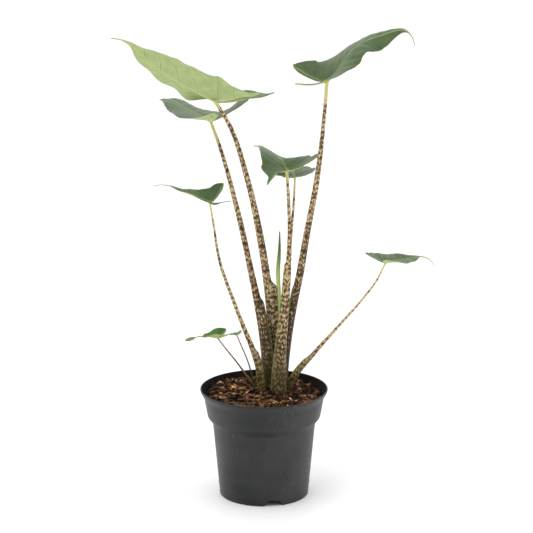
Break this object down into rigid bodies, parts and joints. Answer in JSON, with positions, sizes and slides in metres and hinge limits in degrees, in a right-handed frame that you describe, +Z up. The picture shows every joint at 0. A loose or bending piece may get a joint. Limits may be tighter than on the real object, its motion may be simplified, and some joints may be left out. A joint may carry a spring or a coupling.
{
  "type": "potted siberian tiger alocasia",
  "caption": "Foliage plant with striped, sheathed stalks and arrow-shaped leaves, standing in bark substrate in a round, flared nursery pot with a notched foot.",
  "frame": {"origin": "on the floor, under the middle of the whole plant's bounding box; the pot stands in front of it and a little to its left", "axes": "+Z up along the stalks, the longest extent; +X to the right and -Y to the front, towards the side with the drooping lobe"},
  "size_m": [0.425, 0.308, 0.6323],
  "materials": {
    "dark_plastic": "dark grey moulded plastic, satin",
    "bark_and_coir": "rough brown bark chips and coir fibre",
    "striped_stalk": "waxy cream stalk with dark brown zigzag bands",
    "reddish_stalk": "waxy reddish brown stalk",
    "leaf_green": "waxy green leaf, paler underneath"
  },
  "bodies": {
    "root": {"pot": "dark_plastic", "soil": "bark_and_coir", "upper_left_stalk": "striped_stalk", "upper_left_blade": "leaf_green", "rear_left_stalk": "striped_stalk", "rear_left_blade": "leaf_green", "upper_right_stalk": "striped_stalk", "upper_right_blade": "leaf_green", "middle_stalk": "striped_stalk", "middle_blade": "leaf_green", "lower_rear_stalk": "striped_stalk", "lower_rear_blade": "leaf_green", "small_left_stalk": "striped_stalk", "small_left_blade": "leaf_green", "small_right_stalk": "striped_stalk", "small_right_blade": "leaf_green", "tiny_front_stalk": "reddish_stalk", "tiny_front_blade": "leaf_green", "tiny_rear_stalk": "reddish_stalk", "tiny_rear_blade": "leaf_green", "rolled_new_leaf": "leaf_green"}
  },
  "joints": []
}
